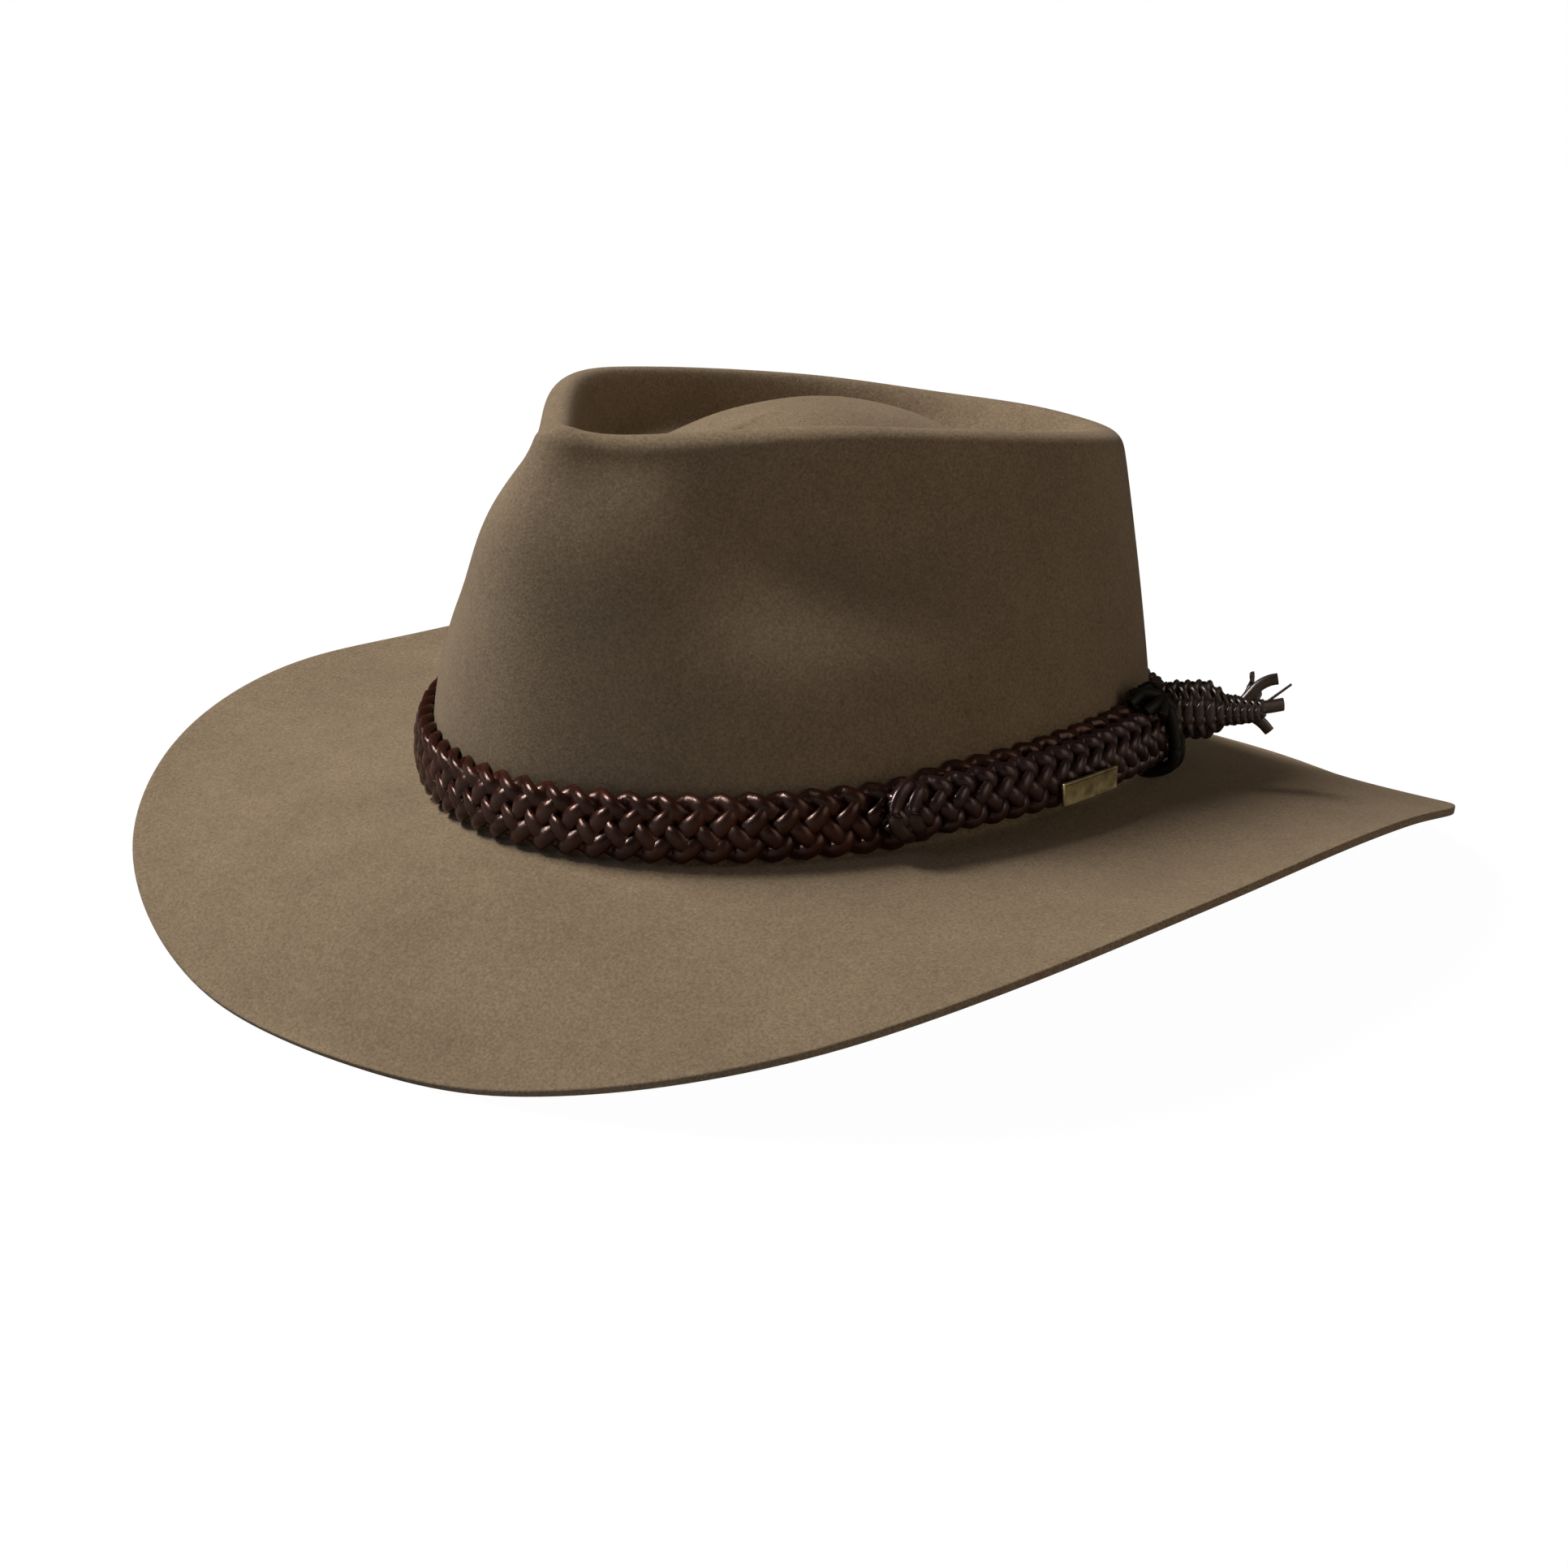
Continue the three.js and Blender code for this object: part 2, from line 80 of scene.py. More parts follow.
def joined(name, pieces):
    bpy.ops.object.select_all(action="DESELECT")
    for piece in pieces:
        piece.select_set(True)
    bpy.context.view_layer.objects.active = pieces[0]
    if len(pieces) > 1:
        bpy.ops.object.join()
    whole = bpy.context.object
    whole.name = whole.data.name = name
    return whole


def copyOfNode(node, name):
    selectOnly(frame["nodes"][node])
    bpy.ops.object.duplicate()
    piece = bpy.context.object
    piece.parent = None
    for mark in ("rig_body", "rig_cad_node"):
        del piece[mark]
    piece.name = piece.data.name = name
    bpy.ops.object.mode_set(mode="EDIT")
    bpy.ops.mesh.select_all(action="SELECT")
    bpy.ops.mesh.remove_doubles(threshold=cleanUp["weld"] * mm)
    bpy.ops.mesh.tris_convert_to_quads(
        face_threshold=math.radians(cleanUp["faceAngle"]), shape_threshold=math.radians(cleanUp["shapeAngle"])
    )
    bpy.ops.object.mode_set(mode="OBJECT")
    return piece


def subdivide(piece, levels):
    selectOnly(piece)
    smoother = piece.modifiers.new("smooth form", "SUBSURF")
    smoother.levels = smoother.render_levels = levels
    bpy.ops.object.modifier_apply(modifier=smoother.name)
    bpy.ops.object.shade_smooth()


def finishPiece(piece, node, finishes):
    piece.data.materials.clear()
    for finish in finishes:
        piece.data.materials.append(finish)
    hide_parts(node)
    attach(piece, "root")
    print("made", piece.name, len(piece.data.polygons), "faces")


# materials


def newFinish(name):
    finish = bpy.data.materials.new(name)
    finish.use_nodes = True
    return finish, finish.node_tree.nodes, finish.node_tree.links, finish.node_tree.nodes["Principled BSDF"]


def addNoise(nodes, links, coords, scale, detail=3, roughness=0.55):
    noise = nodes.new("ShaderNodeTexNoise")
    noise.inputs["Scale"].default_value = scale
    noise.inputs["Detail"].default_value = detail
    noise.inputs["Roughness"].default_value = roughness
    links.new(coords, noise.inputs["Vector"])
    return noise.outputs["Fac"]


def addRamp(nodes, links, source, stops):
    ramp = nodes.new("ShaderNodeValToRGB")
    for element, (place, color) in zip(ramp.color_ramp.elements, stops):
        element.position, element.color = place, (*color, 1)
    links.new(source, ramp.inputs["Fac"])
    return ramp.outputs["Color"]


def grey(tone):
    return (tone, tone, tone)


def multiplyColors(nodes, links, factor, first, second):
    mix = nodes.new("ShaderNodeMix")
    mix.data_type, mix.blend_type = "RGBA", "MULTIPLY"
    mix.inputs["Factor"].default_value = factor
    links.new(first, mix.inputs[6])
    links.new(second, mix.inputs[7])
    return mix.outputs[2]


def addBump(nodes, links, shader, height, distance, strength):
    bump = nodes.new("ShaderNodeBump")
    bump.inputs["Distance"].default_value = distance
    bump.inputs["Strength"].default_value = strength
    links.new(height, bump.inputs["Height"])
    links.new(bump.outputs["Normal"], shader.inputs["Normal"])


feltLook = {
    "tones": [(0.3, (0.180, 0.130, 0.081)), (0.7, (0.212, 0.154, 0.096))],
    "cloud": {"scale": 40, "detail": 4},
    "mottle": {"scale": 300, "roughness": 0.6},
    "speck": {"scale": 1300, "roughness": 0.7},
    "mottleTones": [(0.3, grey(0.9)), (0.7, grey(1.08))],
    "speckTones": [(0.32, (0.5, 0.48, 0.46)), (0.68, grey(1.5))],
    "strength": 0.6,
    "roughness": 0.95,
    "specular": 0.15,
    "sheen": 0.12,
    "sheenRoughness": 0.5,
    "sheenTint": (0.85, 0.75, 0.62, 1),
    "napDepth": 0.25,
    "napStrength": 0.6,
}


def feltFinish():
    finish, nodes, links, shader = newFinish("napped fur felt")
    coords = nodes.new("ShaderNodeTexCoord").outputs["Object"]
    cloud = addNoise(nodes, links, coords, **feltLook["cloud"])
    mottle = addNoise(nodes, links, coords, **feltLook["mottle"])
    speck = addNoise(nodes, links, coords, **feltLook["speck"])
    tone = addRamp(nodes, links, cloud, feltLook["tones"])
    patches = addRamp(nodes, links, mottle, feltLook["mottleTones"])
    grain = addRamp(nodes, links, speck, feltLook["speckTones"])
    mottled = multiplyColors(nodes, links, feltLook["strength"], tone, patches)
    color = multiplyColors(nodes, links, feltLook["strength"], mottled, grain)
    links.new(color, shader.inputs["Base Color"])
    shader.inputs["Roughness"].default_value = feltLook["roughness"]
    shader.inputs["Specular IOR Level"].default_value = feltLook["specular"]
    shader.inputs["Sheen Weight"].default_value = feltLook["sheen"]
    shader.inputs["Sheen Roughness"].default_value = feltLook["sheenRoughness"]
    shader.inputs["Sheen Tint"].default_value = feltLook["sheenTint"]
    addBump(nodes, links, shader, speck, feltLook["napDepth"] * mm, feltLook["napStrength"])
    return finish


# cut edge of the brim: the felt's brown darkened to a near black-brown, painted shade standing for the shadow
# the edge sits in
cutEdgeShadeLook = {
    "speck": {"scale": 700, "roughness": 0.7},
    "tones": [(0.3, (0.022, 0.014, 0.009)), (0.7, (0.048, 0.031, 0.02))],
    "roughness": 0.9,
    "specular": 0.2,
    "depth": 0.2,
    "strength": 0.6,
}


def cutEdgeShadeFinish():
    finish, nodes, links, shader = newFinish("cut felt edge with painted shade")
    coords = nodes.new("ShaderNodeTexCoord").outputs["Object"]
    speck = addNoise(nodes, links, coords, **cutEdgeShadeLook["speck"])
    links.new(addRamp(nodes, links, speck, cutEdgeShadeLook["tones"]), shader.inputs["Base Color"])
    shader.inputs["Roughness"].default_value = cutEdgeShadeLook["roughness"]
    shader.inputs["Specular IOR Level"].default_value = cutEdgeShadeLook["specular"]
    addBump(nodes, links, shader, speck, cutEdgeShadeLook["depth"] * mm, cutEdgeShadeLook["strength"])
    return finish


# what all the leathers share: patches of tone and gloss, and a fine grain (mm)
leatherLook = {
    "patch": {"scale": 90},
    "grain": {"scale": 1400, "detail": 4, "roughness": 0.65},
    "darkUpTo": 0.3,
    "lightFrom": 0.72,
    "glossUpTo": 0.25,
    "dullFrom": 0.75,
    "glossier": 0.08,
    "duller": 0.1,
    "depth": 0.12,
    "strength": 0.5,
}


def leatherFinish(name, dark, light, roughness, specular, tint):
    finish, nodes, links, shader = newFinish(name)
    coords = nodes.new("ShaderNodeTexCoord").outputs["Object"]
    patch = addNoise(nodes, links, coords, **leatherLook["patch"])
    grain = addNoise(nodes, links, coords, **leatherLook["grain"])
    tones = [(leatherLook["darkUpTo"], dark), (leatherLook["lightFrom"], light)]
    links.new(addRamp(nodes, links, patch, tones), shader.inputs["Base Color"])
    glossiest, dullest = roughness - leatherLook["glossier"], roughness + leatherLook["duller"]
    tones = [(leatherLook["glossUpTo"], grey(glossiest)), (leatherLook["dullFrom"], grey(dullest))]
    links.new(addRamp(nodes, links, patch, tones), shader.inputs["Roughness"])
    shader.inputs["Specular IOR Level"].default_value = specular
    shader.inputs["Specular Tint"].default_value = (*tint, 1)
    addBump(nodes, links, shader, grain, leatherLook["depth"] * mm, leatherLook["strength"])
    return finish


brassLook = {
    "tarnish": {"scale": 260, "detail": 5, "roughness": 0.6},
    "tones": [(0.35, (0.24, 0.20, 0.10)), (0.65, (0.58, 0.50, 0.27))],
    "roughness": 0.42,
    "depth": 0.08,
    "strength": 0.5,
}


def brassFinish():
    finish, nodes, links, shader = newFinish("aged brass")
    coords = nodes.new("ShaderNodeTexCoord").outputs["Object"]
    tarnish = addNoise(nodes, links, coords, **brassLook["tarnish"])
    links.new(addRamp(nodes, links, tarnish, brassLook["tones"]), shader.inputs["Base Color"])
    shader.inputs["Metallic"].default_value = 1
    shader.inputs["Roughness"].default_value = brassLook["roughness"]
    addBump(nodes, links, shader, tarnish, brassLook["depth"] * mm, brassLook["strength"])
    return finish


feltNap = feltFinish()
cutEdgeShadedFelt = cutEdgeShadeFinish()
warmTint = (1, 0.69, 0.58)
plaitLeather = leatherFinish(
    "waxed red-brown leather", (0.015, 0.0036, 0.0020), (0.048, 0.0112, 0.0058), 0.27, 0.5, warmTint
)
lapLeather = leatherFinish(
    "darker violet-brown leather", (0.010, 0.0034, 0.0028), (0.036, 0.0125, 0.0105), 0.27, 0.6, (1, 0.8, 0.78)
)
endLeather = leatherFinish(
    "worn grey-brown leather", (0.018, 0.009, 0.007), (0.070, 0.046, 0.038), 0.3, 0.8, (1, 0.92, 0.88)
)
laceLeather = leatherFinish(
    "greenish black lace", (0.008, 0.0075, 0.006), (0.022, 0.021, 0.017), 0.5, 0.2, (1, 0.97, 0.88)
)
agedBrass = brassFinish()
print("materials ready")

# felt hat body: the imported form, smoothed, with a crisp cut edge (mm for beyond)
brimEdge = {"beyond": 125, "outward": 0.6, "crease": 0.75, "levels": 2}


def makeFeltHat():
    piece = copyOfNode("felt_body", "feltHat")
    bpy.ops.object.mode_set(mode="EDIT")
    bpy.ops.mesh.select_mode(type="FACE")
    bpy.ops.mesh.select_all(action="DESELECT")
    bpy.ops.object.mode_set(mode="OBJECT")
    # outward faces past the brim's reach take the second finish, the cut edge with its painted shade
    for face in piece.data.polygons:
        flat = Vector((face.center.x, face.center.y, 0))
        facesOut = face.normal.dot(flat.normalized()) > brimEdge["outward"]
        face.select = facesOut and flat.length > brimEdge["beyond"] * mm
        face.material_index = 1 if face.select else 0
    print("cut edge faces", sum(face.select for face in piece.data.polygons))
    bpy.ops.object.mode_set(mode="EDIT")
    bpy.ops.mesh.region_to_loop()
    bpy.ops.transform.edge_crease(value=brimEdge["crease"])
    bpy.ops.object.mode_set(mode="OBJECT")
    subdivide(piece, brimEdge["levels"])
    return piece


feltHat = makeFeltHat()


def footPoint(angle):
    turn = math.radians(angle)
    dip = crownFoot["frontDip"] if math.cos(turn) > 0 else crownFoot["backDip"]
    return Vector(
        (
            crownFoot["halfWidth"] * math.sin(turn),
            -crownFoot["halfLength"] * math.cos(turn),
            -dip * math.cos(turn) ** 2,
        )
    )


def footOutward(angle):
    turn = math.radians(angle)
    across, along = math.sin(turn) / crownFoot["halfWidth"], -math.cos(turn) / crownFoot["halfLength"]
    return Vector((across, along, 0)).normalized()


# the wall is felt for from this far out, and no lower than this above the break (mm)
feeler = {"from": 40, "lowest": 4}


# a place off the crown's wall: angle from the front, height above the break and distance out (mm)
def onCrown(angle, height, off):
    out = footOutward(angle)
    level = max(height, feeler["lowest"])
    start = restPlace @ ((footPoint(angle) + out * feeler["from"] + up * level) * mm)
    inward = restPlace.to_3x3() @ -out
    found, place, normal, face = feltHat.ray_cast(start, inward)
    return place - inward * off * mm + restPlace.to_3x3() @ up * (height - level) * mm


# small steps of angle over which a run's length is measured
fineSteps = 720


# angles at even distances along a run round the crown
def evenAngles(startAngle, endAngle, height, off, steps):
    fine = [startAngle + (endAngle - startAngle) * i / fineSteps for i in range(fineSteps + 1)]
    places = [onCrown(angle, height(angle), off) for angle in fine]
    along = [0.0]
    for before, after in zip(places, places[1:]):
        along.append(along[-1] + (after - before).length)
    angles, i = [], 0
    for step in range(steps + 1):
        wanted = along[-1] * step / steps
        while i < fineSteps - 1 and along[i + 1] < wanted:
            i += 1
        share = (wanted - along[i]) / (along[i + 1] - along[i])
        angles.append(fine[i] + (fine[i + 1] - fine[i]) * min(1, max(0, share)))
    return angles, along[-1] / mm


def smoothStep(value, low, high):
    share = min(1, max(0, (value - low) / (high - low)))
    return share * share * (3 - 2 * share)


# steps round each quarter of a thong's section, and the welding of a thong's own points (mm)
thongMesh = {"quarterSteps": 3, "weld": 0.005}


# thong section: a flat oval as a curve, its width upright
def makeThongSection(width, thickness):
    bpy.ops.object.select_all(action="DESELECT")
    bpy.ops.curve.primitive_bezier_circle_add(radius=1)
    section = bpy.context.object
    section.scale = (thickness / 2 * mm, width / 2 * mm, 1)
    bpy.ops.object.transform_apply(location=False, rotation=False, scale=True)
    section.data.resolution_u = thongMesh["quarterSteps"]
    return section


def sweepThong(name, places, section, closed=False, radii=None, tilts=None):
    bpy.ops.object.select_all(action="DESELECT")
    bpy.ops.curve.primitive_nurbs_path_add()
    thong = bpy.context.object
    thong.name = name
    curve = thong.data
    curve.dimensions = "3D"
    curve.splines.clear()
    spline = curve.splines.new("POLY")
    spline.points.add(len(places) - 1)
    for i, (point, place) in enumerate(zip(spline.points, places)):
        point.co = (*place, 1)
        point.radius = radii[i] if radii else 1
        point.tilt = tilts[i] if tilts else 0
    spline.use_cyclic_u = closed
    spline.use_smooth = True
    curve.twist_mode = "Z_UP"
    curve.bevel_mode = "OBJECT"
    curve.bevel_object = section
    curve.use_fill_caps = not closed
    bpy.ops.object.convert(target="MESH")
    bpy.ops.object.mode_set(mode="EDIT")
    bpy.ops.mesh.select_all(action="SELECT")
    bpy.ops.mesh.remove_doubles(threshold=thongMesh["weld"] * mm)
    bpy.ops.mesh.normals_make_consistent(inside=False)
    bpy.ops.object.mode_set(mode="OBJECT")
    bpy.ops.object.shade_smooth()
    return bpy.context.object


# how straight a thong runs from side to side, and how quickly it passes over and under
weaveShape = {"straight": 0.96, "quick": 2.2}


# where a thong of a flat plait lies: side to side, and in and out
def plaitWeave(turns, strands):
    straight, quick = weaveShape["straight"], weaveShape["quick"]
    side = math.asin(straight * math.cos(2 * math.pi * turns)) / math.asin(straight)
    cross = math.sin((strands - 1) * 2 * math.pi * turns)
    return side, math.tanh(quick * cross) / math.tanh(quick)


# plaited band all round the foot of the crown, higher under the lap (mm and degrees)
band = {
    "strands": 5,
    "height": 18,
    "bottom": 0.6,
    "lift": 2.3,
    "liftFrom": 61.5,
    "liftTo": 126,
    "riseSpan": 12,
    "fallSpan": 24,
    "repeats": 16,
    "steps": 520,
    "thongWidth": 4.8,
    "thongThickness": 2.6,
    "middle": 2.8,
    "rounding": 1.2,
    "weave": 1.0,
}


def bandMiddle(angle):
    rising = smoothStep(angle, band["liftFrom"], band["liftFrom"] + band["riseSpan"])
    falling = smoothStep(angle, band["liftTo"], band["liftTo"] + band["fallSpan"])
    return band["bottom"] + band["height"] / 2 + band["lift"] * (rising - falling)


def makeBand():
    section = makeThongSection(band["thongWidth"], band["thongThickness"])
    angles, length = evenAngles(0, 360, bandMiddle, band["middle"], band["steps"])
    reach = (band["height"] - band["thongWidth"]) / 2
    thongs = []
    for strand in range(band["strands"]):
        places = []
        for step in range(band["steps"]):
            turns = band["repeats"] * step / band["steps"] + strand / band["strands"]
            side, weave = plaitWeave(turns, band["strands"])
            off = band["middle"] - band["rounding"] * side**2 + band["weave"] * weave
            places.append(onCrown(angles[step], bandMiddle(angles[step]) + reach * side, off))
        thongs.append(sweepThong("bandThong", places, section, closed=True))
    bpy.data.objects.remove(section)
    print("band length", round(length), "mm")
    return joined("bandPlait", thongs)


bandPlait = makeBand()

# plait that laps over the band on the wearer's left, its start turned back (mm and degrees)
lap = {
    "strands": 5,
    "height": 15.4,
    "bottom": 4.4,
    "startAngle": 61.5,
    "endAngle": 126,
    "spacing": 6.6,
    "steps": 170,
    "thongWidth": 4.3,
    "thongThickness": 2.6,
    "middle": 7.6,
    "weave": 1.1,
    "rounding": 1.2,
    "narrowing": 0.55,
    "endLength": 6,
    "cutEnd": 0.1,
    "startTurn": 0.05,
    "turnSteps": 24,
    "mmPerDegree": 1.62,
    "turnedBack": [
        {"inset": 0.6, "bulge": 4.4, "tall": 1.14, "rise": 0.7, "dive": 1.5},
        {"inset": 4.6, "bulge": 3.2, "tall": 0.86, "rise": 1.0, "dive": 1.8},
    ],
}


def makeLap():
    section = makeThongSection(lap["thongWidth"], lap["thongThickness"])
    middle = lap["bottom"] + lap["height"] / 2
    startAngle, endAngle = lap["startAngle"], lap["endAngle"]
    angles, length = evenAngles(startAngle, endAngle, lambda angle: middle, lap["middle"], lap["steps"])
    reach = (lap["height"] - lap["thongWidth"]) / 2
    pitch = lap["spacing"] * lap["strands"]
    thongs = []
    for strand in range(lap["strands"]):
        places = []
        for step, angle in enumerate(angles):
            along = length * step / lap["steps"]
            turns = along / pitch + strand / lap["strands"] + lap["startTurn"]
            side, weave = plaitWeave(turns, lap["strands"])
            towardsEnd = (length - along) / lap["endLength"] + lap["cutEnd"]
            atEnds = math.sqrt(min(1, along / lap["endLength"], towardsEnd))
            fullness = lap["narrowing"] + (1 - lap["narrowing"]) * atEnds
            off = lap["middle"] - lap["rounding"] * side**2 + lap["weave"] * weave * fullness
            places.append(onCrown(angle, middle + reach * side * fullness, off))
        thongs.append(sweepThong("lapThong", places, section))
    for row in lap["turnedBack"]:
        places = []
        for i in range(lap["turnSteps"] + 1):
            turn = math.pi * (i / lap["turnSteps"] - 0.5)
            along = row["inset"] + row["bulge"] * (1 - math.cos(turn))
            angle = startAngle + along / lap["mmPerDegree"]
            dive = row["dive"] * (1 - math.cos(turn)) ** 3
            off = lap["middle"] + row["rise"] - dive
            places.append(onCrown(angle, middle + reach * row["tall"] * math.sin(turn), off))
        thongs.append(sweepThong("lapTurn", places, section))
    bpy.data.objects.remove(section)
    return joined("lapPlait", thongs)


lapPlait = makeLap()

# loose end of the plait behind the knot: a round plait of thongs that narrows (mm and degrees);
# the shape is rows of share along it, height and depth; thinnest and closest hold where it has narrowed
tail = {
    "angle": 118,
    "height": 18.1,
    "off": 6.0,
    "swing": 30,
    "droop": 4,
    "length": 29,
    "tall": 14.6,
    "thick": 8,
    "pitch": 12,
    "strands": 8,
    "steps": 160,
    "thongWidth": 3.3,
    "thongThickness": 1.7,
    "weave": 0.42,
    "quick": 2,
    "thinnest": 0.3,
    "closest": 0.35,
    "endSteps": 6,
    "shape": [
        (0, 0.8, 0.85),
        (0.2, 0.97, 1),
        (0.48, 1, 1),
        (0.57, 0.8, 0.9),
        (0.67, 0.52, 0.78),
        (1, 0.38, 0.6),
    ],
}
# thong ends at the tip, each a run of places: along the tail, up and sideways from its line (mm)
thongEnds = [
    {
        "width": 1.0,
        "tip": 0.62,
        "run": [(22, 0.9, 0.6), (24.3, 2.6, 0.5), (25.6, 5.2, 0.3), (25.7, 7.6, 0.1), (25.3, 10.1, -0.2)],
    },
    {
        "width": 0.95,
        "tip": 0.95,
        "run": [(23.2, 1.4, -0.3), (25.3, 4.2, -0.6), (27.4, 6.9, -0.9), (29.8, 8.4, -1.2), (32, 9, -1.5)],
    },
    {"width": 1.15, "tip": 1.1, "run": [(23, 0.2, 0), (27, 0.5, 0.2), (31, 0.9, 0.6), (34.9, 1.5, 1)]},
    {
        "width": 1.0,
        "tip": 0.85,
        "run": [(23, -0.8, 0), (26.4, -1.5, -0.3), (29, -3, -0.8), (31.2, -5.2, -1.3)],
    },
    {"width": 0.85, "tip": 0.6, "run": [(22.5, 0.2, 0.8), (26, 1.1, 2.2), (28.6, 2, 4.4), (30.2, 2.6, 6.8)]},
    {
        "width": 0.3,
        "tip": 0.2,
        "run": [(26, 0.6, 0.4), (29.2, 1.6, 0.2), (32.2, 4.2, -0.4), (35.8, 7.6, -1.4)],
    },
]


def tailSize(share):
    for (low, tallLow, thickLow), (high, tallHigh, thickHigh) in zip(tail["shape"], tail["shape"][1:]):
        if share <= high:
            mix = smoothStep(share, low, high)
            return tallLow + (tallHigh - tallLow) * mix, thickLow + (thickHigh - thickLow) * mix
    return tail["shape"][-1][1:]


def tailFrame():
    turn = restPlace.to_3x3()
    level = Matrix.Rotation(math.radians(tail["swing"]), 3, "Z") @ footOutward(tail["angle"])
    side = up.cross(level)
    line = Matrix.Rotation(math.radians(tail["droop"]), 3, side) @ level
    start = onCrown(tail["angle"], tail["height"], tail["off"])
    return start, turn @ line, turn @ line.cross(side), turn @ side


# a smooth curve through places, in even parts between each two
def smoothThrough(knots, parts):
    places = []
    for i, (start, end) in enumerate(zip(knots, knots[1:])):
        before, after = knots[max(0, i - 1)], knots[min(len(knots) - 1, i + 2)]
        slope = end - before
        bend = 2 * before - 5 * start + 4 * end - after
        twist = 3 * start - 3 * end + after - before
        for part in range(parts):
            t = part / parts
            places.append(start + 0.5 * t * (slope + t * (bend + t * twist)))
    return places + [knots[-1]]


def makeTail():
    section = makeThongSection(tail["thongWidth"], tail["thongThickness"])
    start, line, upright, side = tailFrame()
    half = tail["strands"] // 2
    thongs = []
    for strand in range(tail["strands"]):
        hand = 1 if strand < half else -1
        places, radii, turns = [], [], 0
        for step in range(tail["steps"] + 1):
            share = step / tail["steps"]
            tall, thick = tailSize(share)
            around = hand * 2 * math.pi * turns + 2 * math.pi * (strand % half) / half
            over = hand * math.cos(2 * math.pi * half * turns)
            width = tail["thinnest"] + (1 - tail["thinnest"]) * tall
            grow = tail["weave"] * tall * math.tanh(tail["quick"] * over)
            inset = tail["thongThickness"] / 2 * width + tail["weave"] * tall
            halfTall = tail["tall"] / 2 * tall - inset + grow
            halfThick = tail["thick"] / 2 * thick - inset + grow
            places.append(
                start
                + line * share * tail["length"] * mm
                + upright * math.cos(around) * halfTall * mm
                + side * math.sin(around) * halfThick * mm
            )
            radii.append(width)
            pitch = tail["pitch"] * (tail["closest"] + (1 - tail["closest"]) * tall)
            turns += tail["length"] / tail["steps"] / pitch
        thongs.append(sweepThong("tailThong", places, section, radii=radii))
    for row in thongEnds:
        knots = [
            start + (line * along + upright * rise + side * aside) * mm for along, rise, aside in row["run"]
        ]
        places = smoothThrough(knots, tail["endSteps"])
        last = len(places) - 1
        radii = [row["width"] + (row["tip"] - row["width"]) * i / last for i in range(last + 1)]
        thongs.append(sweepThong("thongEnd", places, section, radii=radii))
    bpy.data.objects.remove(section)
    return joined("tailPlait", thongs)


tailPlait = makeTail()

# dark lace: two turns down over both plaits, each a run of heights and distances out, and the knot on
# their upper edge, in runs of angles, heights and distances out (degrees, mm and mm)
lace = {
    "width": 3.1,
    "thickness": 2.5,
    "steps": 8,
    "turnAngles": (116.9, 119.3),
    "turn": [
        (22, 2.2),
        (22.4, 5),
        (21.6, 8.2),
        (19.4, 10.6),
        (15.5, 11.4),
        (11.5, 11.5),
        (7.5, 11.2),
        (4.2, 10),
        (2.4, 7.6),
        (1.7, 5),
        (1.6, 2.6),
    ],
    "knot": [
        [(112, 21, 4.2), (113.4, 22.4, 5.4), (115.6, 23.4, 6.4), (118, 22.8, 7), (120.2, 20, 7)],
        [(112.2, 19.4, 8), (113.8, 20.8, 9.6), (116, 21.8, 10.4), (118.4, 20.8, 10.4), (120.4, 18, 9.4)],
        [(113.6, 22.6, 3.4), (114.6, 23.4, 6.4), (116, 22.2, 9.8), (117.4, 18.8, 12)],
        [(119, 22.8, 4), (117.8, 23.8, 7), (115.6, 21.4, 10.8), (113.6, 18.2, 11.4)],
    ],
}


def makeLace():
    section = makeThongSection(lace["width"], lace["thickness"])
    runs = [[(angle, height, off) for height, off in lace["turn"]] for angle in lace["turnAngles"]]
    turns = []
    for run in runs + lace["knot"]:
        knots = [onCrown(*knot) for knot in run]
        turns.append(sweepThong("laceTurn", smoothThrough(knots, lace["steps"]), section))
    bpy.data.objects.remove(section)
    return joined("tieLace", turns)


tieLace = makeLace()

# blank metal plate on the lap, with a thin raised border (mm and degrees)
plate = {
    "edge": 0.16,
    "edgeSteps": 2,
    "border": 0.55,
    "sink": 0.2,
    "angle": 93,
    "facing": 0.9,
    "smoothUpTo": 35,
}


def makePlate():
    piece = copyOfNode("band_plate", "bandPlate")
    front = restPlace.to_3x3() @ footOutward(plate["angle"])
    bpy.ops.object.mode_set(mode="EDIT")
    bpy.ops.mesh.select_mode(type="FACE")
    bpy.ops.mesh.select_all(action="DESELECT")
    bpy.ops.object.mode_set(mode="OBJECT")
    for face in piece.data.polygons:
        face.select = face.normal.dot(front) > plate["facing"]
    bpy.ops.object.mode_set(mode="EDIT")
    bpy.ops.mesh.inset(thickness=plate["border"] * mm, use_even_offset=True)
    bpy.ops.mesh.inset(thickness=plate["sink"] * mm, depth=-plate["sink"] * mm, use_even_offset=True)
    bpy.ops.object.mode_set(mode="OBJECT")
    selectOnly(piece)
    edges = piece.modifiers.new("eased edges", "BEVEL")
    edges.width = plate["edge"] * mm
    edges.segments = plate["edgeSteps"]
    edges.limit_method = "ANGLE"
    bpy.ops.object.modifier_apply(modifier=edges.name)
    bpy.ops.object.shade_smooth_by_angle(angle=math.radians(plate["smoothUpTo"]))
    return piece


bandPlate = makePlate()

finishPiece(feltHat, "felt_body", [feltNap, cutEdgeShadedFelt])
finishPiece(bandPlait, "band_plait", [plaitLeather])
finishPiece(lapPlait, "overlap_plait", [lapLeather])
finishPiece(tieLace, "tie_knot", [laceLeather])
finishPiece(tailPlait, "tail_plait", [endLeather])
finishPiece(bandPlate, "band_plate", [agedBrass])

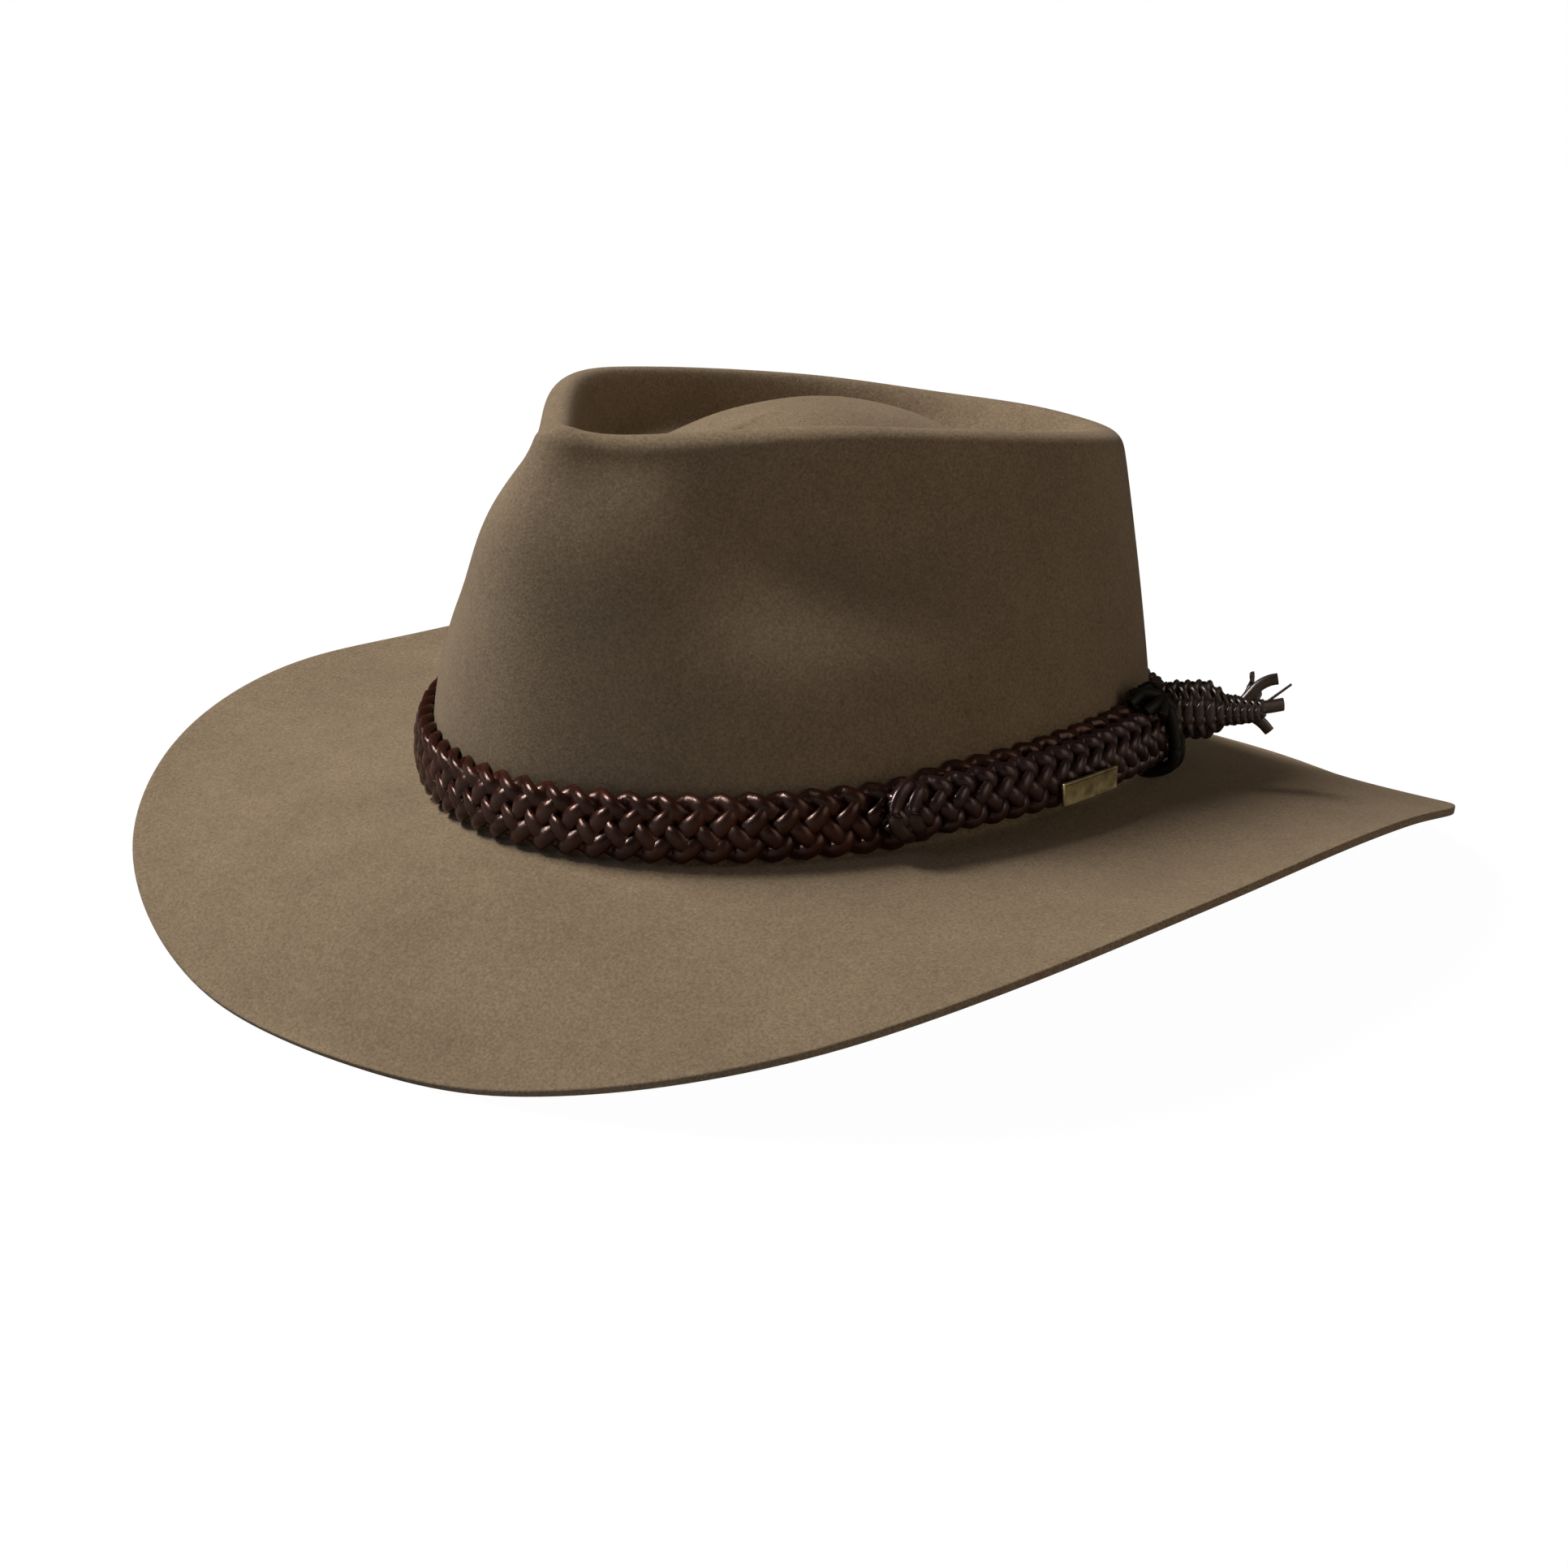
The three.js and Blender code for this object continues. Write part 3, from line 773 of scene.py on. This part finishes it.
# floor, seen mostly by its own glow, and lights (m and W)
studio = {
    "floorSize": 12,
    "floorAlbedo": 0.28,
    "floorRoughness": 0.9,
    "floorGlow": 0.9,
    "glow": 1.09,
    "world": 0.065,
    "worldTint": (1, 0.86, 0.72, 1),
}
lights = [
    {"name": "key light", "place": (-1.065, -0.42, 1.68), "size": 0.7, "energy": 54, "glossy": False},
    {"name": "fill light", "place": (1.7, 0.35, 0.6), "size": 1.2, "energy": 6, "color": (1, 0.88, 0.76)},
    {"name": "glint light", "place": (-0.4, -1.5, 1.0), "size": 0.42, "energy": 46, "diffuse": False},
]
lightAim = Vector((0, 0, 0.08))


def makeStudio():
    bpy.ops.object.select_all(action="DESELECT")
    bpy.ops.mesh.primitive_plane_add(size=studio["floorSize"])
    floor = bpy.context.object
    floor.name = "floor"
    finish, nodes, links, shader = newFinish("pale floor")
    shader.inputs["Base Color"].default_value = (*grey(studio["floorAlbedo"]), 1)
    shader.inputs["Roughness"].default_value = studio["floorRoughness"]
    glow = nodes.new("ShaderNodeEmission")
    glow.inputs["Strength"].default_value = studio["glow"]
    seen = nodes.new("ShaderNodeMath")
    seen.operation = "MULTIPLY"
    seen.inputs[1].default_value = studio["floorGlow"]
    rays = nodes.new("ShaderNodeLightPath")
    blend = nodes.new("ShaderNodeMixShader")
    links.new(rays.outputs["Is Camera Ray"], seen.inputs[0])
    links.new(seen.outputs["Value"], blend.inputs["Fac"])
    links.new(shader.outputs["BSDF"], blend.inputs[1])
    links.new(glow.outputs["Emission"], blend.inputs[2])
    links.new(blend.outputs["Shader"], nodes["Material Output"].inputs["Surface"])
    floor.data.materials.append(finish)
    world = bpy.data.worlds.new("studio")
    world.use_nodes = True
    nodes, links = world.node_tree.nodes, world.node_tree.links
    dim = nodes["Background"]
    dim.inputs["Color"].default_value = studio["worldTint"]
    dim.inputs["Strength"].default_value = studio["world"]
    white = nodes.new("ShaderNodeBackground")
    rays = nodes.new("ShaderNodeLightPath")
    either = nodes.new("ShaderNodeMixShader")
    links.new(rays.outputs["Is Camera Ray"], either.inputs["Fac"])
    links.new(dim.outputs["Background"], either.inputs[1])
    links.new(white.outputs["Background"], either.inputs[2])
    links.new(either.outputs["Shader"], nodes["World Output"].inputs["Surface"])
    bpy.context.scene.world = world


def addSoftLight(row):
    bpy.ops.object.select_all(action="DESELECT")
    bpy.ops.object.light_add(type="AREA", location=row["place"])
    light = bpy.context.object
    light.name = row["name"]
    light.data.size = row["size"]
    light.data.energy = row["energy"]
    light.data.color = row.get("color", (1, 1, 1))
    light.rotation_euler = (lightAim - Vector(row["place"])).to_track_quat("-Z", "Y").to_euler()
    light.visible_diffuse, light.visible_glossy = row.get("diffuse", True), row.get("glossy", True)


makeStudio()
for row in lights:
    addSoftLight(row)
print("studio ready")

# the photograph's camera, fitted to the hat's outline in the hat's own frame
view = {
    "azimuth": 44.3,
    "elevation": 17.0,
    "distance": 1200,
    "pixelsPerMm": 4.7,
    "centreX": 983,
    "centreY": 917.7,
    "frameSize": 1932,
    "sensor": 36,
}


def makeCamera():
    turn, rise = math.radians(view["azimuth"]), math.radians(view["elevation"])
    back = Vector((math.sin(turn) * math.cos(rise), -math.cos(turn) * math.cos(rise), math.sin(rise)))
    right = Vector((math.cos(turn), math.sin(turn), 0))
    place = Matrix((right, back.cross(right), back)).transposed().to_4x4()
    place.translation = back * view["distance"] * mm
    bpy.ops.object.camera_add()
    camera = bpy.context.object
    camera.matrix_world = restPlace @ place
    frameSize = view["frameSize"]
    camera.data.sensor_width = view["sensor"]
    camera.data.lens = view["sensor"] * view["pixelsPerMm"] * view["distance"] / frameSize
    camera.data.shift_x = (frameSize / 2 - view["centreX"]) / frameSize
    camera.data.shift_y = (view["centreY"] - frameSize / 2) / frameSize
    bpy.context.scene.camera = camera


makeCamera()
bpy.context.scene.view_settings.view_transform = "Standard"
